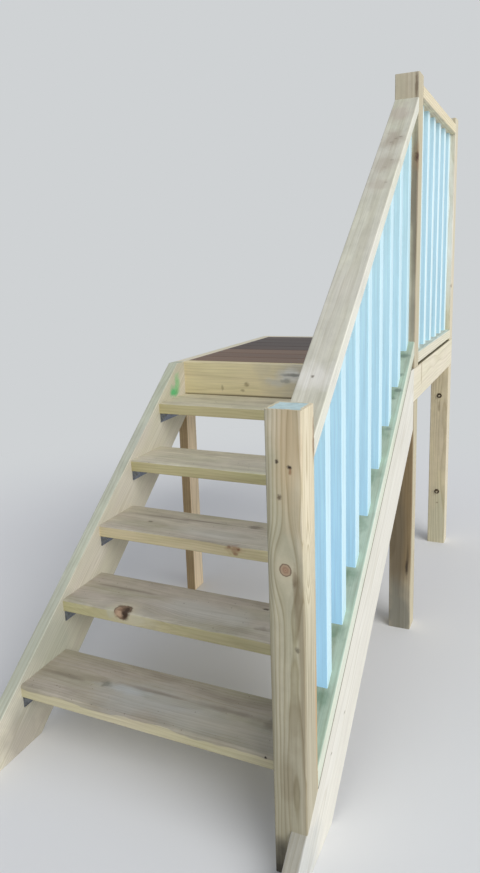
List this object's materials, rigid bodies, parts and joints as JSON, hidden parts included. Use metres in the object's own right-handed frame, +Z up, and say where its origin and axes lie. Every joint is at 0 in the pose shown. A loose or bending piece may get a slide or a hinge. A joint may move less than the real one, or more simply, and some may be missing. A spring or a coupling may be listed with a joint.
{
  "type": "deck stairs",
  "caption": "Open-riser timber stairs rising to a framed and boarded landing, with raking stringers, square posts and a balustrade of square pickets along one side.",
  "frame": {"origin": "centre of the bounding box in plan, on the ground under the feet", "axes": "+X across the flight towards the balustrade, +Y up the flight towards the wall, +Z up"},
  "size_m": [1.09, 2.5654, 2.24],
  "materials": {
    "stringer_pine": "dressed treated pine, pale and dry",
    "tread_pine": "treated pine, scuffed grey on top",
    "post_pine": "treated pine with knots",
    "framing_pine": "treated pine",
    "rail_pine": "dressed treated pine",
    "baluster_primer": "pale blue primer",
    "deck_hardwood": "oiled, glossy",
    "galvanised_steel": "dull zinc coat"
  },
  "bodies": {
    "root": {"left_stringer": "stringer_pine", "right_stringer": "stringer_pine", "tread_1": "tread_pine", "tread_2": "tread_pine", "tread_3": "tread_pine", "tread_4": "tread_pine", "tread_5": "tread_pine", "left_tread_brackets": "galvanised_steel", "right_tread_brackets": "galvanised_steel", "bottom_newel_post": "post_pine", "top_newel_post": "post_pine", "wall_post": "post_pine", "left_leg": "post_pine", "landing_header": "framing_pine", "left_landing_joist": "framing_pine", "right_landing_joist": "framing_pine", "back_landing_joist": "framing_pine", "centre_bearer": "framing_pine", "left_bearer": "framing_pine", "right_bearer": "framing_pine", "deck_board_1": "deck_hardwood", "deck_board_2": "deck_hardwood", "deck_board_3": "deck_hardwood", "deck_board_4": "deck_hardwood", "deck_board_5": "deck_hardwood", "deck_board_6": "deck_hardwood", "deck_board_7": "deck_hardwood", "base_rail": "rail_pine", "handrail": "rail_pine", "stair_balusters": "baluster_primer", "landing_top_rail": "rail_pine", "landing_bottom_rail": "rail_pine", "landing_balusters": "baluster_primer"}
  },
  "joints": []
}
